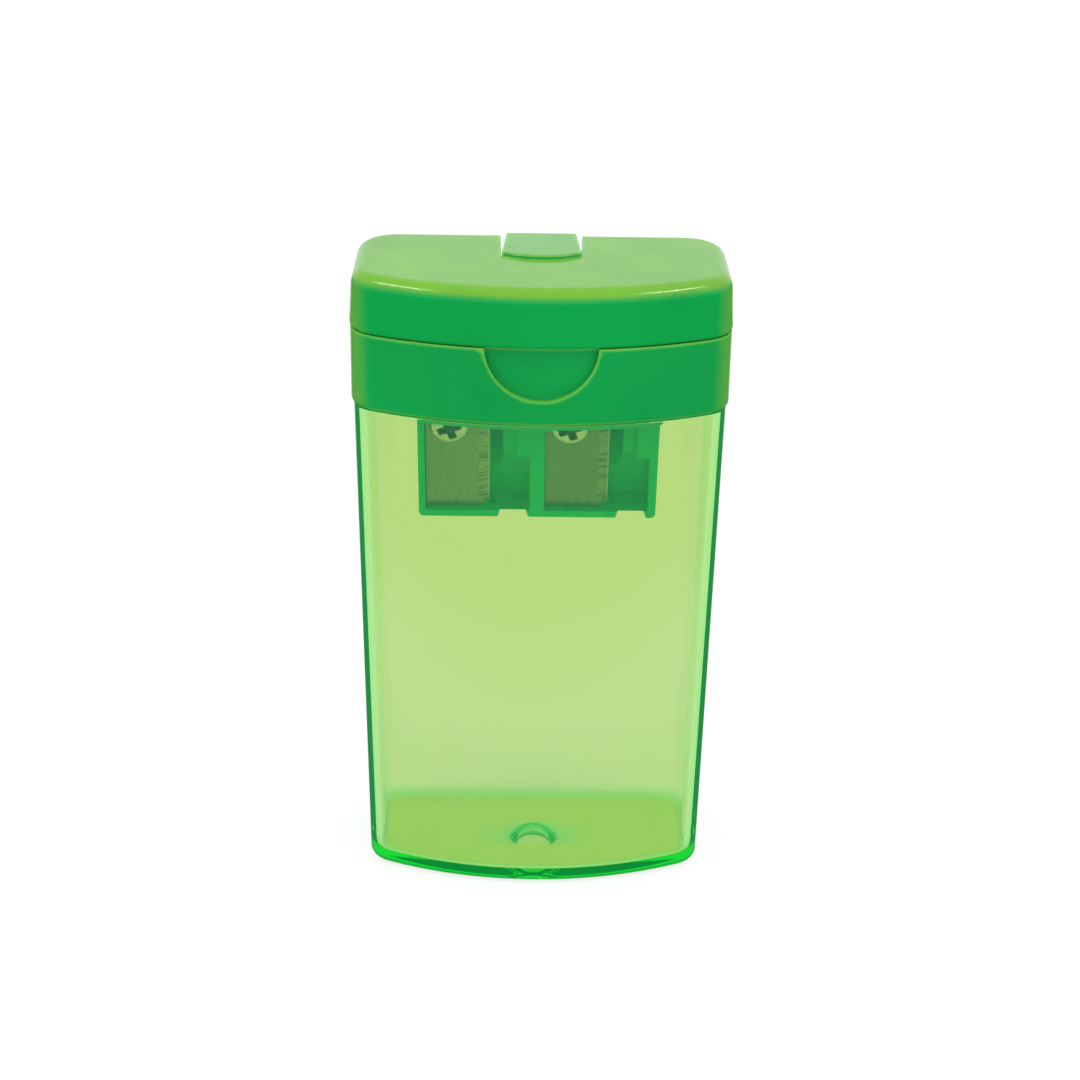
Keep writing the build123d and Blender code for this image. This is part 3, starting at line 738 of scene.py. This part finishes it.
def ground_steel(name, edge_x, tone):
    """Blade steel: fine grinding scratches, a ground band with cross marks by the cutting edge, and a
    painted highlight on the edge.
    """
    f = Finish(name)
    f.set(Metallic=0.62)
    x = f.apart(f.place)[0]
    lines = f.noise(1.0, 4.0, 0.65, f.stretch((9000, 400, 500)))
    across = f.stretch((240, 300, 4600), turn=(0, 0.14, 0), move=(edge_x, 0, edge_x))
    cross = f.noise(1.0, 2.0, 0.6, across, distortion=0.3)
    cloud = f.noise(500, 4.0, 0.6)
    gap = f.calc("SUBTRACT", edge_x * MM, x)
    wander = f.calc("MULTIPLY_ADD", f.calc("SUBTRACT", f.noise(1.0, 2.0, 0.6, f.stretch((0, 0, 900))), 0.5),
                    0.9 * MM, 1.15 * MM)
    band = f.calc("LESS_THAN", gap, wander)
    body = f.mix(f.spread(lines, 0.3, 0.7, 0.0, 1.0), (0.22, 0.28, 0.19), (0.34, 0.41, 0.29))
    body = f.mix(f.spread(cloud, 0.35, 0.7, 0.0, 0.55), body, (0.27, 0.34, 0.24))
    speck = f.noise(1.0, 3.0, 0.75, f.stretch((5200, 3000, 9000)))
    body = f.mix(f.spread(speck, 0.50, 0.68, 0.0, 0.5), body, (0.15, 0.19, 0.12))
    nick = f.spread(cross, 0.40, 0.47, 0.0, 1.0)
    ground = f.mix(nick, (0.11, 0.14, 0.08), (0.36, 0.43, 0.27))
    body = f.mix(f.calc("MULTIPLY", band, 0.85), body, ground)
    # Painted highlight: a near-white line along the cutting edge.
    body = f.mix(f.spread(gap, 0.05 * MM, 0.16 * MM, 0.9, 0.0), body, (0.78, 0.78, 0.74))
    # Tone scales the blade's colour: painted light and shade.
    f.link(f.mix(1.0, body, (tone, tone, tone), "MULTIPLY"), "Base Color")
    f.link(f.spread(lines, 0.3, 0.7, 0.28, 0.42), "Roughness")
    f.link(f.bump(cross, 0.15, 3e-5, f.bump(lines, 0.25, 2e-5)), "Normal")
    return f.material


def screw_steel():
    """Bright plated steel, with painted shade where the cross is deep."""
    f = Finish("bright_screw_steel")
    f.set(Metallic=0.7)
    cloud = f.spread(f.noise(900, 3.0, 0.6), 0.35, 0.7, 0.0, 1.0)
    body = f.mix(cloud, (0.80, 0.80, 0.76), (0.62, 0.62, 0.58))
    f.link(f.mix(f.painted("cross_shade"), body, (0.04, 0.045, 0.04)), "Base Color")
    f.link(f.spread(f.noise(1500, 2.0, 0.5), 0.3, 0.7, 0.16, 0.30), "Roughness")
    f.link(f.bump(f.noise(2600, 3.0, 0.5), 0.12, 2e-5), "Normal")
    return f.material


# ---------------------------------------------------------------- pieces

def seat(piece, node, body):
    """Lets a piece ride on its body, in place of its CAD node."""
    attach(piece, body)
    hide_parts(node)


# The pale yellow-green of painted light.
PAINTED_LIGHT_GREEN = (0.145, 0.405, 0.024)
# Lighter greens for painted highlights by the corners.
EDGE_HIGHLIGHT = (0.13, 0.52, 0.06)
BLOCK_EDGE_HIGHLIGHT = (0.03, 0.70, 0.2)
# A bright green of painted light, for parts seen through the tub.
PAINTED_LIGHT_IN_TUB = (0.0, 0.72, 0.29)
plastics = {
    "collar": moulded_green("collar_green_plastic", (0.0, 0.325, 0.06), PAINTED_LIGHT_GREEN, EDGE_HIGHLIGHT, PAINTED_LIGHT_IN_TUB),
    # The block's deep green is drawn lighter than the collar's and lid's: painted light.
    "sharpener_block": moulded_green("block_green_plastic", (0.0, 0.42, 0.08), PAINTED_LIGHT_GREEN, BLOCK_EDGE_HIGHLIGHT, PAINTED_LIGHT_IN_TUB, 0.2),
    "lid": moulded_green("lid_green_plastic", (0.0, 0.335, 0.059), PAINTED_LIGHT_GREEN, EDGE_HIGHLIGHT, PAINTED_LIGHT_IN_TUB, 0.34),
}

tub = build_tub()
tub.data.materials.append(clear_tint())
seat(tub, "container", "container")

for node, name, body, width, painted_light, inside in (
    ("collar", "collar_ring", "head", 0.04, collar_painted_light, collar_inside),
    ("sharpener_block", "twin_hole_block", "head", 0.10, block_painted_light, block_inside),
    ("lid", "flip_lid", "lid", 0.04, lid_painted_light, never_inside),
):
    piece = merged_copy(node, name)
    if node == "lid":
        lower_skirt(piece)
    corners = edge_points(piece.data)
    round_edges(piece, width)
    slice_cells(piece, 1.0)
    paint(piece, corners, painted_light, inside)
    soften(piece)
    piece.data.materials.append(plastics[node])
    seat(piece, node, body)

# The same steel with painted light and shade: the left blade drawn lighter, the right darker.
for side, tone in (("left", 1.06), ("right", 0.86)):
    blade = merged_copy("blade_" + side, "steel_blade_" + side)
    round_edges(blade, 0.03)
    soften(blade)
    blade.data.materials.append(ground_steel("ground_steel_" + side, AXES[side] - BLADE_EDGE_OFFSET, tone))
    seat(blade, "blade_" + side, "head")

bright = screw_steel()
maker = screw_tree()
for side, axis_x in AXES.items():
    screw = build_screw("cross_screw_" + side, maker, axis_x, bright)
    seat(screw, "screw_" + side, "head")


# ---------------------------------------------------------------- studio

CAMERA_RISE, CAMERA_SIDE, CAMERA_ROLL = 23.384, -0.67, -0.904
CAMERA_TARGET = (0.000254, -0.000775, 0.039562)
CAMERA_DISTANCE = 0.257
CAMERA_LENS = 75.6
FLOOR_Z = -0.1 * MM
LOW_LIGHT = 0.10            # light from below the horizon in front, as a share of the sky's
HORIZON = (-0.02, 0.10)     # over these heights it grows to the full sky
REAR_GLOW = (0.80, 0.90)    # light from straight behind is full at every height
EDGE_LIGHT_X = (-0.285, 0.258)


def pale_floor():
    """A pale table that also glows, like a light table."""
    f = Finish("pale_floor")
    f.set(Base_Color=(0.25, 0.25, 0.25, 1), Roughness=0.9,
          Emission_Color=(1, 1, 1, 1), Emission_Strength=0.75)
    return f.material


def camera():
    """Camera in front and above, turned very slightly about its own axis."""
    e, az, roll = (math.radians(a) for a in (CAMERA_RISE, CAMERA_SIDE, CAMERA_ROLL))
    back = Vector((math.sin(az) * math.cos(e), -math.cos(az) * math.cos(e), math.sin(e)))
    right = (-back).cross(Vector((0, 0, 1))).normalized()
    up = right.cross(-back)
    x = right * math.cos(roll) - up * math.sin(roll)
    y = right * math.sin(roll) + up * math.cos(roll)
    data = bpy.data.cameras.new("camera")
    data.sensor_width = 36
    data.lens = CAMERA_LENS
    data.clip_start = 0.01
    ob = bpy.data.objects.new("camera", data)
    p = Vector(CAMERA_TARGET) + back * CAMERA_DISTANCE
    ob.matrix_world = Matrix(((x.x, y.x, back.x, p.x), (x.y, y.y, back.y, p.y),
                              (x.z, y.z, back.z, p.z), (0, 0, 0, 1)))
    bpy.context.scene.collection.objects.link(ob)
    bpy.context.scene.camera = ob


def softbox(name, place, aim, width, height, power):
    data = bpy.data.lights.new(name, "AREA")
    data.shape = "RECTANGLE"
    data.size = width
    data.size_y = height
    data.energy = power
    ob = bpy.data.objects.new(name, data)
    ob.location = place
    ob.rotation_euler = (Vector(aim) - Vector(place)).to_track_quat("-Z", "Y").to_euler()
    bpy.context.scene.collection.objects.link(ob)


camera()
bpy.ops.mesh.primitive_plane_add(size=4, location=(0, 0, FLOOR_Z))
floor = bpy.context.object
floor.name = "floor"
floor.data.materials.append(pale_floor())
floor.visible_glossy = False

# the world: white sky, dim low in front, full behind, and white to the camera everywhere
world = bpy.data.worlds.new("studio")
bpy.context.scene.world = world
world.use_nodes = True
sky = world.node_tree
where = sky.nodes.new("ShaderNodeTexCoord")
split = sky.nodes.new("ShaderNodeSeparateXYZ")
sky.links.new(where.outputs["Generated"], split.inputs[0])


def grow(value, span, start):
    n = sky.nodes.new("ShaderNodeMapRange")
    n.inputs["From Min"].default_value, n.inputs["From Max"].default_value = span
    n.inputs["To Min"].default_value = start
    sky.links.new(value, n.inputs["Value"])
    return n.outputs[0]


def larger(first, second):
    n = sky.nodes.new("ShaderNodeMath")
    n.operation = "MAXIMUM"
    sky.links.new(first, n.inputs[0])
    sky.links.new(second, n.inputs[1])
    return n.outputs[0]


lit = larger(grow(split.outputs[2], HORIZON, LOW_LIGHT), grow(split.outputs[1], REAR_GLOW, 0.0))
lit = larger(lit, sky.nodes.new("ShaderNodeLightPath").outputs["Is Camera Ray"])
sky.nodes["Background"].inputs[0].default_value = (1, 1, 1, 1)
sky.links.new(lit, sky.nodes["Background"].inputs[1])

for x in EDGE_LIGHT_X:
    softbox("edge_light", (x, -0.137, 0.48), (0, 0, 0.07), 0.15, 0.011, 0.5)
bpy.context.scene.view_settings.view_transform = "Standard"
